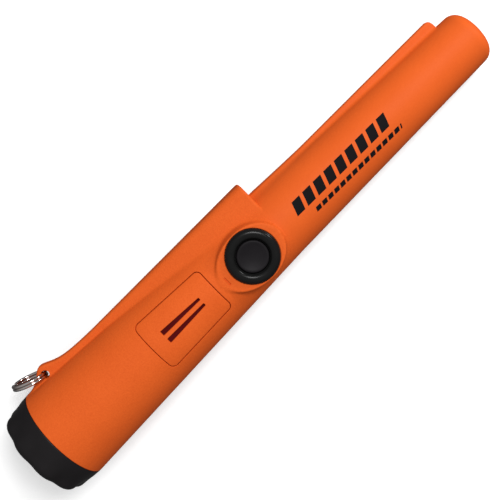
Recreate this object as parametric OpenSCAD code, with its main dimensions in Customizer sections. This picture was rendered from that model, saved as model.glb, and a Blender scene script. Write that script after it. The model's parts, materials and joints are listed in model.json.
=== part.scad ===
// Hand-held metal-detecting probe (pinpointer).
// +X runs from the battery cap to the sensing tip, +Y towards the scraping
// blade, +Z out through the push button. The origin is the centre of the
// cap's end face. All sizes are in millimetres.

/* [Overall] */
// Length from the cap's end face to the sensing tip
probe_len = 229; // [200:1:275]
// Distance from the cap's end face to the lamp step
step_x = 124.8; // [120:0.1:150]
// Radius of the housing at the mouth, where it meets the cap
mouth_r = 19.8; // [19.4:0.1:23.8]
// Radius of the handle cone and of the shaft at the lamp step
shoulder_r = 14.1; // [13.4:0.1:17]
// Radius that the shaft cone reaches at the tip
tip_r = 11; // [10.4:0.1:13.2]
// Radius of the round edge at the tip
tip_round = 4.5; // [2:0.1:5.5]
// Thickness of the housing wall
wall = 1.9; // [1.6:0.05:2.3]

/* [Battery cap] */
// Length of the cap that shows
cap_len = 12.4; // [10.3:0.1:14.9]
// Radius of the round rim of the cap
cap_round = 3.3; // [1:0.1:4]
// How much narrower the cap is at its rim than at the mouth
cap_taper = 0.5; // [0:0.1:1.2]
// Number of finger scallops round the cap
scallops = 9; // [6:1:12]
// Depth of a finger scallop at the rim
scallop_depth = 0.7; // [0.3:0.05:1.2]
// Radius of a finger scallop
scallop_r = 7; // [5:0.5:9]
// Thickness of the cap's end
cap_end = 3; // [2.4:0.1:3.6]
// Length of the threaded neck
neck_len = 7.4; // [6.2:0.1:8.9]
// Thickness of the neck's wall
neck_wall = 1; // [0.8:0.05:1.2]
// Travel of the cap in one turn
thread_pitch = 3; // [2.5:0.1:3.6]
// Height of a thread ridge
ridge_h = 0.85; // [0.7:0.05:1]
// Width of a thread ridge at its foot
ridge_w = 1.1; // [0.9:0.05:1.3]
// Gap between the cap's thread and the thread ring
thread_gap = 0.25; // [0.2:0.05:0.3]
// Thickness of the o-ring
o_ring_d = 1.2; // [1:0.05:1.4]

/* [Battery bay] */
// Width of the battery
battery_w = 26.5; // [25.5:0.1:27]
// Thickness of the battery
battery_t = 17.5; // [16.5:0.1:18]
// Length of the battery's case
battery_l = 46.4; // [45:0.1:48]
// Radius of the battery's long edges
battery_edge = 2.5; // [1.5:0.1:3]
// Height of the battery's snap terminals
terminal_h = 2.4; // [2:0.1:3]
// Gap all round between the battery and the bay
bay_gap = 0.27; // [0.2:0.01:0.4]
// Thickness of the foam pad inside the cap
pad_t = 1.8; // [1.5:0.1:2.2]

/* [Lamp block and lug] */
// How far the top line near the lug stands out from the mouth's radius
spine_h = 0.55; // [0.45:0.05:1]
// How far the top line at the lamp step stands out from the mouth's radius
block_h = 1.5; // [1.2:0.1:2.4]
// Half width of the spine and of the lug
fin_half = 2.5; // [2.1:0.1:3]
// Half width of the block's top at the lamp step
block_half = 6.5; // [5.4:0.1:7.8]
// Distance of the lug's hole from the cap's end face
lug_x = 23.7; // [22.7:0.1:28.5]
// How far the lug's hole stands out from the mouth's radius
lug_out = 1.1; // [1:0.1:1.5]
// How far the lug stands out from the mouth's radius
lug_h = 4.7; // [4.2:0.1:5.6]
// Radius of the lug's hole
lug_hole_r = 1.55; // [1.5:0.05:1.8]
// Radius of the ring from its centre to the middle of its wire
ring_r = 6.5; // [5.8:0.1:7.8]
// Radius of the ring's wire
wire_r = 0.6; // [0.5:0.01:0.65]
// Angle that the ring stands out from the cap's side
ring_tilt = 20; // [5:1:60]
// Radius of the lamp's window
lens_r = 2.8; // [2.3:0.05:3.2]

/* [Blade] */
// Height of the blade's edge over the axis at the lamp step
blade_y0 = 14.5; // [14.4:0.1:15.5]
// Height of the blade's edge over the axis at its tip end
blade_y1 = 15.4; // [14.4:0.1:17.4]
// Distance from the tip to the end of the blade
blade_setback = 10; // [8:0.1:12]
// Thickness of the blade
blade_t = 3.8; // [3:0.1:4.6]
// Radius of the blade's outer corner
blade_round = 2; // [1:0.1:3]

/* [Push button] */
// Distance of the button from the lamp step
button_back = 14.6; // [14:0.1:18]
// Outer radius of the button's surround
surround_r = 10.2; // [9.6:0.1:12.3]
// Radius of the moving key
key_r = 6; // [5.5:0.1:7.2]
// Travel of the key
key_travel = 1; // [0.8:0.1:1.2]
// Height of the boss over the axis
boss_z = 15.7; // [15.4:0.1:16.5]
// Length of the boss beyond the surround on each side
boss_reach = 3.3; // [3:0.1:4]

/* [Speaker] */
// Distance of the speaker panel's cap end from the cap's end face
panel_x = 61.1; // [60:0.1:64]
// Length of the speaker panel
panel_l = 31; // [25.8:0.1:32.5]
// Width of the speaker panel at its cap end
panel_w0 = 20.6; // [17.2:0.1:21]
// Width of the speaker panel at its tip end
panel_w1 = 18.4; // [15.4:0.1:19]
// Thickness of the speaker panel
panel_t = 1.2; // [1:0.05:1.3]
// Angle of the panel round the axis from the button
panel_turn = 4.5; // [0:0.5:8]
// Length of the sound slots
slot_l = 18.4; // [14:0.1:20]
// Radius of the speaker
speaker_r = 7.5; // [6:0.1:7.6]
// Depth of the speaker
speaker_t = 4.2; // [3:0.1:4.6]

/* [Electronics] */
// Half width of the circuit board
board_half = 9.2; // [7.6:0.1:9.4]
// Thickness of the circuit board
board_t = 1.6; // [1.3:0.1:2]
// Height of the board's top face over the axis
board_z = 3; // [2.5:0.1:3.5]
// Radius of the ferrite rod
rod_r = 4.2; // [3.5:0.1:5]
// Radius of the vibration motor
motor_r = 3; // [2.5:0.1:3.6]
// Length of the vibration motor's can
motor_l = 11; // [9:0.5:13.5]

/* [Hidden] */
$fn = 96;

// Gaps and small allowances: a loose fit, a close fit, how far joined pieces run into
// each other, how far a cutter runs past what it cuts, and a clear space inside
slip = 0.3;
snug = 0.05;
sink = 0.5;
over = 1;
clear = 0.4;
arc_steps = 6;

// Angle at which a scallop runs out towards the mouth, and its share of the cap's length
scallop_lean = 6;
scallop_share = 0.8;

// Thread: where it runs in the mouth, the ring that carries its female side, and its crest
thread_ring_t = 0.6;
thread_seat = 0.8;
thread_run = 0.8;
thread_end_gap = 0.1;
crest_share = 0.55;

// Housing cone, its wall and what the bay needs
mouth_x = cap_len;
bay_r = norm([battery_w / 2 - battery_edge, battery_t / 2 - battery_edge])
    + battery_edge + bay_gap;
neck_r = bay_r + neck_wall;
male_r = neck_r + ridge_h;
ring_in_r = male_r + thread_gap;
ring_out_r = ring_in_r + thread_ring_t;
thread_x0 = mouth_x + o_ring_d + thread_seat;
thread_x1 = mouth_x + neck_len + thread_run;
pad_squash = 0.2;
pad_in = 2;
contact_h = 0.4;
contact_r = 2.2;
pad_x = cap_end;
battery_x = pad_x + pad_t;
plate_x = battery_x + battery_l + terminal_h + contact_h;
plate_t = 1.6;
plate_hole_r = 4;
plate_gap = 0.2;
bay_end = plate_x + plate_t + plate_gap;
rail_wall = 1.8;
function handle_at(x) = mouth_r + (shoulder_r - mouth_r) * (x - mouth_x)
    / (step_x - mouth_x);
function shaft_at(x) = shoulder_r + (tip_r - shoulder_r) * (x - step_x)
    / (probe_len - step_x);
function bore_at(x) = (x < step_x ? handle_at(x) : shaft_at(x)) - wall;
blade_end = probe_len - blade_setback;

// Battery: its can, its cells and its snap terminals
can_wall = 0.4;
cell_r = (battery_t / 2 - can_wall) / 2 - snug;
cell_base = 0.5;
cell_top = 2.5;
terminal_y = 6.35;
stud_r = 2.8;
socket_r = 4;
socket_wall = 0.8;
socket_floor = 0.6;

// Lamp block: its length, its bend, its top line, its top's half width, and the heights
// over the axis where its sides meet the cone, which they enter by a small share
block_l = 74;
block_bend = 30;
block_x0 = step_x - block_l;
block_mid = step_x - block_bend;
spine_y = mouth_r + spine_h;
block_y = mouth_r + block_h;
function top_line(x) = spine_y + (block_y - spine_y) * (x - lug_x)
    / (step_x - lug_x);
function block_width(x) = fin_half + (block_half - fin_half)
    * (x - block_x0) / (step_x - block_x0);
side_low0 = 15;
side_low1 = 13;
side_low2 = 9.3;
side_in1 = 0.98;
side_in2 = 0.995;
lens_rim = 1;
lens_y = block_y - lens_r - lens_rim;
lens_t = 1.5;
led_l = 8.6;
led_gap = 0.3;
led_room = 1.5;
lead_slot = 1;
lamp_x0 = step_x - lens_t - led_l - led_room;

// Lug outline: a bell over the hole that runs out to the top line on both sides
lug_start = 0.8;
lug_run = 24;
lug_foot = 0.2;
lug_w_cap = 4.3;
lug_w_tip = 5.8;
lug_steps = 14;
lug_y = mouth_r + lug_out;
lug_top = mouth_r + lug_h;
lug_x0 = mouth_x + lug_start;
lug_x1 = lug_x + lug_run;
function bell(d, w) = 1 / (1 + d * d / (w * w));
function lug_side(x, x_end, w) = (bell(x - lug_x, w) - bell(x_end - lug_x, w))
    / (1 - bell(x_end - lug_x, w));
cap_line = handle_at(lug_x0) - lug_foot;
function lug_base(x) = x > lug_x ? top_line(x)
    : cap_line + (spine_y - cap_line) * (x - lug_x0) / (lug_x - lug_x0);
function lug_edge(x) = lug_base(x) + (lug_top - spine_y)
    * (x > lug_x ? lug_side(x, lug_x1, lug_w_tip) : lug_side(x, lug_x0, lug_w_cap));
coil_step = 0.55;

// Button stack
button_x = step_x - button_back;
boss_rim = 0.5;
boss_side = surround_r + boss_rim;
boss_half = surround_r + boss_reach;
boss_flare = 0.6;
seat_depth = 1.2;
seat_z = boss_z - seat_depth;
surround_lip = 0.5;
crest_h = 1.6;
crest_z = boss_z + crest_h;
surround_in = key_r + slip;
crest_r = (surround_r + surround_in) / 2;
key_rise = 0.7;
key_top = boss_z + key_rise;
dish_r = 16;
dish_depth = 0.8;
flange_t = 1;
flange_over = 1.4;
flange_r = key_r + flange_over;
well_r = flange_r + clear;
flange_z = seat_z - slip - flange_t;
switch_h = 3.4;
switch_half = 3;
switch_floor = 1;
stem_r = 1.7;
stem_in = 1.2;
stem_h = key_travel + slip;
stem_z = board_z + switch_h;
plunger_z = stem_z + stem_h;
plunger_r = 2.4;

// Speaker stack
panel_gap = 0.2;
panel_corner = 2;
panel_over = 2;
panel_ends = 3;
membrane_t = 0.3;
membrane_in = 2.2;
sound_in = 4.4;
slot_in = 6.2;
slot_x = panel_x + slot_in;
slot_wide = 1.9;
slot_narrow = 1;
slot_pitch0 = 3.65;
slot_pitch1 = 2.75;
speaker_x = panel_x + panel_l / 2;
speaker_gap = 0.25;
speaker_rim = 1.8;
speaker_dish = 0.8;
gasket_t = 0.7;
speaker_z = sqrt(pow(bore_at(speaker_x + speaker_r), 2) - speaker_r * speaker_r)
    - gasket_t - speaker_gap;
magnet_share = 0.6;
magnet_h = 1.4;

// Board, tray and what stands on them
board_in = 3;
board_past = 14;
board_x0 = bay_end + board_in;
board_x1 = step_x + board_past;
board_low = board_z - board_t;
tray_t = 1.5;
tray_z = -2.6;
tray_past = 2;
tray_side = 0.6;
tray_x0 = bay_end + sink;
tray_x1 = board_x1 + tray_past;
tray_half = board_half + tray_side;
tray_window = 34;
window_past = 4;
post_r = 1.9;
post_floor = 0.5;
post_in = 3;
screw_r = 0.9;
screw_l = 3;
screw_head = 1;
screw_hole = 0.15;

// Chips, each with its distance from what it serves, its half width and its length
chip_h = 1.1;
driver_chip = [9, 3.5, 7];
switch_chip = [8, 2.6, 5];
speaker_chip = [4, 2, 5];
can_r = 1.6;
can_h = 2.4;
can_step = 3.6;
can_y = 2.2;
can_x = button_x + 16.5;

// Vibration motor
motor_in = 6;
motor_drop = 0.5;
motor_x = board_x0 + motor_in;
motor_z = tray_z - tray_t - motor_r - motor_drop;
shaft_r = 0.5;
shaft_in = 1.7;
shaft_run = 0.06;
weight_r = motor_r - 0.35;
weight_l = 3.4;
weight_gap = 1;
weight_flat = 0.3;
cradle_t = 1.1;
cradle_share = 0.7;

// Coils
rod_back = 22;
rod_end = 6.5;
rod_x0 = step_x + rod_back;
rod_x1 = probe_len - rod_end;
rod_len = rod_x1 - rod_x0;
bobbin_wall = 0.7;
bobbin_gap = 0.15;
bobbin_r = rod_r + bobbin_gap + bobbin_wall;
flange_w = 1.2;
flange_gap = 0.6;
wind_low = 0.9;
wind_gap = 0.2;
coil_flange_r = bore_at(rod_x1) - flange_gap;
wind_r = coil_flange_r - wind_low;
tx_share = 0.52;
tx_end = 6;
tx_x0 = rod_x0 + rod_len * tx_share;
tx_x1 = rod_x1 - tx_end;
rx_in = 3;
rx_gap = 3;
rx_x0 = rod_x0 + rx_in;
rx_len = (tx_x0 - 2 * rx_gap - rx_x0) / 2;
rx_x1 = rx_x0 + rx_len;
rx_end = tx_x0 - flange_w - clear;
cushion_l = 3.5;
cushion_slip = 0.1;
cushion_x0 = rod_x1 - cushion_l;
cushion_end = probe_len - wall - clear;
lead_r = 0.55;
lead_y = 2.8;
lead_in = 2.2;

// Points of an arc from angle a0 to angle a1
function arc(cx, cy, r, a0, a1) = [for (i = [0:arc_steps])
    [cx + r * cos(a0 + (a1 - a0) * i / arc_steps),
     cy + r * sin(a0 + (a1 - a0) * i / arc_steps)]];

// Turns a drawn [radius, x] profile round the X axis
module turned(points) {
    rotate([0, 90, 0]) rotate_extrude() polygon(points);
}

// A round bar along X
module bar(x0, x1, r) {
    translate([x0, 0, 0]) rotate([0, 90, 0]) cylinder(h = x1 - x0, r = r);
}

// A box from its centre in Y, with its lowest X and Z
module slab(x0, x1, half, z0, z1) {
    translate([x0, -half, z0]) cube([x1 - x0, 2 * half, z1 - z0]);
}

// Helical thread ridge: its foot lies on r_foot and its crest on r_crest
module thread_ridge(x0, x1, r_foot, r_crest, width, phase) {
    per_turn = 48;
    root = 0.2;
    count = floor((x1 - x0 - width) / thread_pitch * per_turn);
    crest_w = width * crest_share;
    foot_dir = sign(r_crest - r_foot);
    foot_r = r_foot - foot_dir * root;
    ring_pts = [[foot_r, -width / 2], [r_crest, -crest_w / 2],
        [r_crest, crest_w / 2], [foot_r, width / 2]];
    points = [for (i = [0:count]) for (p = ring_pts)
        let (a = phase + 360 * i / per_turn,
            x = x0 + width / 2 + thread_pitch * i / per_turn + p[1])
        [x, -p[0] * sin(a), p[0] * cos(a)]];
    sides = [for (i = [0:count - 1]) for (k = [0:3])
        let (a = 4 * i + k, b = 4 * i + (k + 1) % 4) [a, b, b + 4, a + 4]];
    first = [3, 2, 1, 0];
    last = [for (k = [0:3]) 4 * count + k];
    outward = foot_dir > 0 ? concat(sides, [first, last])
        : [for (f = concat(sides, [first, last])) [f[3], f[2], f[1], f[0]]];
    polyhedron(points = points, faces = outward, convexity = 10);
}

// Rounded outline of the speaker panel, grown by g
function panel_outline(g) = let (x0 = panel_x - g, x1 = panel_x + panel_l + g,
        h0 = panel_w0 / 2 + g, h1 = panel_w1 / 2 + g,
        r = max(panel_corner + g, 0.3))
    concat(arc(x1 - r, h1 - r, r, 0, 90), arc(x0 + r, h0 - r, r, 90, 180),
        arc(x0 + r, r - h0, r, 180, 270), arc(x1 - r, r - h1, r, 270, 360));

// Upright prism over the panel's outline
module panel_prism(g) {
    rotate([-panel_turn, 0, 0]) translate([0, 0, panel_w0 / 4])
        linear_extrude(height = mouth_r) polygon(panel_outline(g));
}

// Skin of the handle cone between two depths under its surface
module cone_skin(d0, d1) {
    x0 = panel_x - panel_ends;
    x1 = panel_x + panel_l + panel_ends;
    turned([[handle_at(x0) - d1, x0], [handle_at(x0) - d0, x0],
        [handle_at(x1) - d0, x1], [handle_at(x1) - d1, x1]]);
}

// Cross-section of the lamp block at x, as a thin slice
module block_slice(x, low_y, low_z) {
    translate([x - snug, 0, 0]) rotate([90, 0, 90]) linear_extrude(height = snug)
        polygon([[0, -low_z], [low_y, -low_z], [top_line(x), -block_width(x)],
            [top_line(x), block_width(x)], [low_y, low_z], [0, low_z]]);
}

module lamp_block() {
    r0 = handle_at(block_x0);
    low0 = min(side_low0, r0 - 1);
    r1 = handle_at(block_mid);
    z1 = sqrt(r1 * r1 - side_low1 * side_low1) * side_in1;
    z2 = sqrt(shoulder_r * shoulder_r - side_low2 * side_low2) * side_in2;
    hull() {
        block_slice(block_x0, low0, fin_half);
        block_slice(block_mid, side_low1, z1);
    }
    hull() {
        block_slice(block_mid, side_low1, z1);
        block_slice(step_x, side_low2, z2);
    }
}

module fin() {
    line = [for (i = [0:lug_steps]) let (x = lug_x0 + (lug_x - lug_x0) * i / lug_steps)
        [x, lug_edge(x)]];
    slope = [for (i = [1:lug_steps]) let (x = lug_x + (lug_x1 - lug_x) * i / lug_steps)
        [x, lug_edge(x)]];
    foot = bay_r + wall / 2;
    translate([0, 0, -fin_half]) linear_extrude(height = 2 * fin_half)
        polygon(concat([[lug_x0, ring_out_r + sink]], line, slope,
            [[step_x, block_y], [step_x, shoulder_r - wall / 2], [bay_end, foot],
             [thread_x1 + 1, foot], [thread_x1 + 1, ring_out_r + sink]]));
}

module blade() {
    foot = tip_r - wall / 2;
    translate([0, 0, -blade_t / 2]) linear_extrude(height = blade_t)
        polygon(concat([[step_x - over, foot], [blade_end, foot]],
            arc(blade_end - blade_round, blade_y1 - blade_round, blade_round, 0, 90),
            [[step_x - over, blade_y0]]));
}

// Boss under the button: two round ends joined by a straight middle
module boss() {
    reach = boss_half - boss_side;
    low = shoulder_r / 2;
    rise = boss_z - low;
    flare = boss_flare;
    for (side = [-1, 1]) translate([button_x + side * reach, 0, low])
        cylinder(h = rise, r1 = boss_side + flare, r2 = boss_side);
    translate([button_x - reach, 0, low]) rotate([90, 0, 90])
        linear_extrude(height = 2 * reach)
        polygon([[-boss_side - flare, 0], [boss_side + flare, 0],
            [boss_side, rise], [-boss_side, rise]]);
}

module outer_skin() {
    turned(concat([[0, mouth_x], [mouth_r, mouth_x], [shoulder_r, step_x]],
        [for (p = arc(probe_len - tip_round, shaft_at(probe_len - tip_round) - tip_round,
            tip_round, 90, 0)) [p[1], p[0]]], [[0, probe_len]]));
}

module inner_room() {
    in_round = tip_round - wall;
    end_x = probe_len - wall;
    turned([[0, mouth_x - over], [ring_out_r, mouth_x - over], [ring_out_r, thread_x1],
        [bay_r, thread_x1], [bay_r, bay_end],
        [bore_at(bay_end), bay_end], [bore_at(step_x), step_x],
        [bore_at(end_x - in_round), end_x - in_round],
        [bore_at(end_x) - in_round, end_x], [0, end_x]]);
}

module housing_shell() {
    color([0.92, 0.36, 0.12]) difference() {
        union() {
            outer_skin();
            intersection() {
                boss();
                slab(mouth_x, step_x, mouth_r, 0, boss_z + over);
            }
            fin();
            lamp_block();
            blade();
        }
        inner_room();
        // lug hole
        translate([lug_x, lug_y, -mouth_r]) cylinder(h = 2 * mouth_r, r = lug_hole_r);
        // lamp bore and the way for its leads
        translate([0, lens_y, 0]) bar(lamp_x0, step_x + over, lens_r + snug);
        translate([lamp_x0 + lead_slot, 0, -lead_slot])
            cube([2 * lead_slot, lens_y, 2 * lead_slot]);
        // seat of the button's surround and the well under it
        translate([button_x, 0, seat_z]) cylinder(h = mouth_r, r = surround_r + snug);
        translate([button_x, 0, board_z]) cylinder(h = mouth_r, r = well_r);
        // seats of the speaker panel and of its membrane, and the sound opening
        intersection() {
            cone_skin(-panel_over, panel_t);
            panel_prism(panel_gap);
        }
        intersection() {
            cone_skin(-panel_over, panel_t + membrane_t);
            panel_prism(snug - membrane_in);
        }
        panel_prism(-sound_in);
    }
}

module thread_ring() {
    color([0.86, 0.34, 0.12]) {
        difference() {
            bar(thread_x0, thread_x1, ring_out_r - snug);
            bar(thread_x0 - over, thread_x1 + over, ring_in_r);
        }
        thread_ridge(thread_x0, thread_x1 - 2 * thread_end_gap, ring_in_r, ring_in_r - ridge_h,
            ridge_w, 360 * (thread_x0 - mouth_x) / thread_pitch + 180);
    }
}

module battery_cap() {
    rim_r = mouth_r - cap_taper;
    ridge_x0 = thread_x0 + thread_end_gap;
    color([0.09, 0.09, 0.1]) {
        difference() {
            turned(concat([[0, 0]], [for (p = arc(cap_round, rim_r - cap_round, cap_round,
                180, 90)) [p[1], p[0]]], [[mouth_r, mouth_x - 2 * snug],
                [mouth_r, mouth_x - snug], [neck_r, mouth_x - snug],
                [neck_r, mouth_x + neck_len], [bay_r, mouth_x + neck_len],
                [bay_r, cap_end], [0, cap_end]]));
            for (i = [0:scallops - 1]) rotate([360 * i / scallops, 0, 0])
                translate([0, 0, rim_r + scallop_r - scallop_depth]) rotate([0, -scallop_lean, 0])
                translate([-over, 0, 0]) rotate([0, 90, 0])
                cylinder(h = cap_len * scallop_share, r = scallop_r);
        }
        thread_ridge(ridge_x0, mouth_x + neck_len - thread_end_gap, neck_r, male_r, ridge_w,
            360 * (ridge_x0 - mouth_x) / thread_pitch);
    }
}

module cap_pad() {
    color([0.25, 0.25, 0.27]) bar(pad_x, pad_x + pad_t - pad_squash, bay_r - pad_in);
}

module o_ring() {
    mid = (neck_r + ring_out_r) / 2;
    color([0.12, 0.12, 0.12]) translate([mouth_x + o_ring_d / 2 + slip, 0, 0])
        rotate([0, 90, 0]) rotate_extrude() translate([mid, 0]) circle(d = o_ring_d);
}

module split_ring() {
    color([0.8, 0.8, 0.82]) translate([lug_x, lug_y, 0]) rotate([0, 0, -ring_tilt])
        translate([-ring_r, 0, 0]) rotate([90, 0, 0])
        for (side = [-1, 1]) translate([0, 0, side * coil_step])
        rotate_extrude() translate([ring_r, 0]) circle(r = wire_r, $fn = 32);
}

module button_surround() {
    crest = (surround_r - surround_in) / 2;
    rise = crest_z - boss_z - surround_lip;
    color([0.08, 0.08, 0.09]) translate([button_x, 0, 0]) rotate_extrude()
        polygon(concat([[surround_in, seat_z], [surround_r, seat_z]],
            [for (p = arc(0, 0, 1, 0, 180)) [crest_r + crest * p[0],
                boss_z + surround_lip + rise * p[1]]]));
}

module button_key() {
    color([0.1, 0.1, 0.11]) translate([button_x, 0, 0]) difference() {
        union() {
            translate([0, 0, flange_z]) cylinder(h = key_top - flange_z, r = key_r);
            translate([0, 0, flange_z]) cylinder(h = flange_t, r = flange_r);
        }
        translate([0, 0, key_top - dish_depth + dish_r]) sphere(r = dish_r);
    }
}

module key_plunger() {
    color([0.85, 0.85, 0.82]) translate([button_x, 0, plunger_z])
        cylinder(h = flange_z - plunger_z, r = plunger_r);
}

module switch_body() {
    color([0.15, 0.15, 0.16]) difference() {
        translate([button_x - switch_half, -switch_half, board_z])
            cube([2 * switch_half, 2 * switch_half, switch_h]);
        translate([button_x, 0, board_z + switch_floor])
            cylinder(h = switch_h, r = stem_r + slip);
    }
}

module switch_stem() {
    color([0.75, 0.2, 0.15]) translate([button_x, 0, stem_z - stem_in])
        cylinder(h = stem_h + stem_in, r = stem_r);
}

module sound_slots() {
    x1 = slot_x + slot_l;
    for (side = [-1, 1]) rotate([-panel_turn, 0, 0]) linear_extrude(height = mouth_r)
        polygon([[slot_x, side * slot_pitch0 / 2 - slot_wide / 2],
            [x1, side * slot_pitch1 / 2 - slot_narrow / 2],
            [x1, side * slot_pitch1 / 2 + slot_narrow / 2],
            [slot_x, side * slot_pitch0 / 2 + slot_wide / 2]]);
}

module speaker_panel() {
    color([0.94, 0.42, 0.16]) difference() {
        intersection() {
            cone_skin(0, panel_t);
            panel_prism(0);
        }
        sound_slots();
    }
}

module speaker_membrane() {
    color([0.32, 0.05, 0.05]) intersection() {
        cone_skin(panel_t, panel_t + membrane_t);
        panel_prism(-membrane_in);
    }
}

module turned_up(x, z) {
    rotate([-panel_turn, 0, 0]) translate([x, 0, z]) children();
}

module speaker_gasket() {
    color([0.2, 0.2, 0.2]) turned_up(speaker_x, speaker_z) difference() {
        cylinder(h = gasket_t, r = speaker_r - clear);
        translate([0, 0, -over])
            cylinder(h = gasket_t + 2 * over, r = speaker_r - speaker_rim);
    }
}

module speaker_driver() {
    color([0.35, 0.35, 0.37]) turned_up(speaker_x, speaker_z - speaker_t) difference() {
        cylinder(h = speaker_t, r = speaker_r);
        translate([0, 0, speaker_t - speaker_dish])
            cylinder(h = speaker_t, r = speaker_r - speaker_rim);
    }
}

module speaker_magnet() {
    color([0.6, 0.6, 0.62]) turned_up(speaker_x, speaker_z - speaker_t - magnet_h)
        cylinder(h = magnet_h, r = speaker_r * magnet_share);
}

module lamp_lens() {
    color([0.9, 0.95, 1]) translate([0, lens_y, 0]) bar(step_x - lens_t, step_x, lens_r);
}

module lamp_led() {
    led_r = lens_r - led_gap;
    led_x = step_x - lens_t - snug;
    color([0.95, 0.95, 0.85]) translate([0, lens_y, 0]) {
        bar(led_x - led_l, led_x - led_r, led_r);
        intersection() {
            translate([led_x - led_r, 0, 0]) sphere(r = led_r);
            bar(led_x - led_r - snug, led_x + over, led_r);
        }
    }
}

module battery_block(x0, x1, shrink) {
    e = battery_edge - shrink;
    w = battery_w / 2 - shrink;
    t = battery_t / 2 - shrink;
    translate([x0, 0, 0]) rotate([90, 0, 90]) linear_extrude(height = x1 - x0)
        polygon(concat(arc(w - e, t - e, e, 0, 90), arc(e - w, t - e, e, 90, 180),
            arc(e - w, e - t, e, 180, 270), arc(w - e, e - t, e, 270, 360)));
}

module battery_case() {
    color([0.72, 0.72, 0.74]) difference() {
        battery_block(battery_x, battery_x + battery_l, 0);
        battery_block(battery_x + can_wall, battery_x + battery_l - can_wall, can_wall);
    }
}

module battery_cells() {
    step = battery_w / 3 - can_wall;
    color([0.75, 0.7, 0.55]) for (row = [-1, 1]) for (col = [-1, 0, 1])
        translate([0, col * step, row * (cell_r + snug)])
        bar(battery_x + can_wall + cell_base, battery_x + battery_l - cell_top, cell_r);
}

module battery_terminals() {
    x0 = battery_x + battery_l;
    color([0.8, 0.8, 0.8]) {
        translate([0, terminal_y, 0]) bar(x0, x0 + terminal_h, stud_r);
        translate([0, -terminal_y, 0]) difference() {
            bar(x0, x0 + terminal_h, socket_r);
            bar(x0 + socket_floor, x0 + terminal_h + over, socket_r - socket_wall);
        }
    }
}

module battery_rails() {
    x0 = thread_x1 + clear;
    x1 = plate_x - clear;
    flat = battery_t / 2 + slip;
    color([0.3, 0.3, 0.32]) difference() {
        bar(x0, x1, bay_r - snug);
        bar(x0 - over, x1 + over, bay_r - rail_wall);
        slab(x0 - over, x1 + over, bay_r + over, -flat, flat);
    }
}

module contact_plate() {
    color([0.12, 0.3, 0.16]) difference() {
        bar(plate_x, plate_x + plate_t, bay_r - clear);
        translate([0, 0, -bay_r])
            bar(plate_x - over, plate_x + plate_t + over, plate_hole_r);
    }
}

module battery_contacts() {
    color([0.82, 0.68, 0.3]) for (side = [-1, 1]) translate([0, side * terminal_y, 0])
        bar(plate_x - contact_h, plate_x, contact_r);
}

module battery_leads() {
    color([0.7, 0.1, 0.1]) for (side = [-1, 1])
        translate([0, side * lead_y, board_z + lead_r + snug])
        bar(plate_x + plate_t, board_x0 + lead_in, lead_r);
}

module tray_posts() {
    for (x = [board_x0 + post_in, board_x1 - post_in]) for (side = [-1, 1])
        translate([x, side * (board_half - post_in), tray_z]) children();
}

module chassis_tray() {
    color([0.22, 0.22, 0.24]) {
        difference() {
            slab(tray_x0, tray_x1, tray_half, tray_z - tray_t, tray_z);
            slab(step_x + window_past - tray_window, step_x + window_past, tray_half / 2,
                tray_z - tray_t - over, tray_z + over);
        }
        tray_posts() difference() {
            translate([0, 0, -snug]) cylinder(h = board_low - tray_z + snug, r = post_r);
            translate([0, 0, post_floor]) cylinder(h = board_z - tray_z, r = screw_r);
        }
    }
}

module main_board() {
    color([0.1, 0.38, 0.2]) difference() {
        slab(board_x0, board_x1, board_half, board_low, board_z);
        tray_posts() cylinder(h = board_z - tray_z + over, r = screw_r + screw_hole);
    }
}

module chip(x, size) {
    slab(x + size[0], x + size[0] + size[2], size[1], board_z, board_z + chip_h);
}

module board_chips() {
    color([0.1, 0.1, 0.11]) {
        chip(board_x0, driver_chip);
        chip(button_x, switch_chip);
        for (side = [-1, 1]) translate([0, side * board_half / 2, 0])
            chip(speaker_x, speaker_chip);
    }
}

module board_capacitors() {
    color([0.2, 0.2, 0.45]) for (i = [0:3]) for (side = [-1, 1])
        translate([can_x + can_step * (i % 2), side * (can_y + can_step * floor(i / 2)),
            board_z]) cylinder(h = can_h, r = can_r);
}

module board_screws() {
    color([0.75, 0.75, 0.76]) tray_posts() {
        translate([0, 0, board_z - tray_z]) cylinder(h = screw_head, r = post_r);
        translate([0, 0, board_low - tray_z - screw_l])
            cylinder(h = screw_l + board_t + snug, r = screw_r - snug);
    }
}

module motor_at() {
    translate([motor_x, 0, motor_z]) children();
}

module motor_cradle() {
    span = motor_l * cradle_share;
    x0 = (motor_l - span) / 2;
    color([0.22, 0.22, 0.24]) motor_at() difference() {
        slab(x0, x0 + span, motor_r + cradle_t, -motor_r / 2, -motor_z + tray_z - tray_t);
        bar(0, motor_l, motor_r + snug);
    }
}

module motor_can() {
    color([0.7, 0.7, 0.72]) motor_at() difference() {
        bar(0, motor_l, motor_r);
        bar(motor_l - shaft_in - slip, motor_l + over, shaft_r + shaft_run);
    }
}

module motor_shaft() {
    color([0.8, 0.8, 0.8]) motor_at()
        bar(motor_l - shaft_in, motor_l + weight_gap + weight_l, shaft_r);
}

module motor_weight() {
    color([0.55, 0.5, 0.4]) motor_at() difference() {
        bar(motor_l + weight_gap, motor_l + weight_gap + weight_l, weight_r);
        bar(motor_l, motor_l + weight_gap + weight_l + over, shaft_r);
        slab(motor_l, motor_l + weight_gap + weight_l + over, weight_r + over,
            shaft_r + weight_flat, weight_r + over);
    }
}

module coil_bobbin() {
    flanges = [rod_x0, rx_x1, rx_end, tx_x1];
    color([0.88, 0.86, 0.8]) difference() {
        union() {
            bar(rod_x0, tx_x1 + flange_w, bobbin_r);
            for (x = flanges) bar(x, x + flange_w, coil_flange_r);
        }
        bar(rod_x0 - over, rod_x1, rod_r + bobbin_gap);
    }
}

module ferrite_rod() {
    color([0.16, 0.15, 0.16]) bar(rod_x0, rod_x1, rod_r);
}

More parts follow.
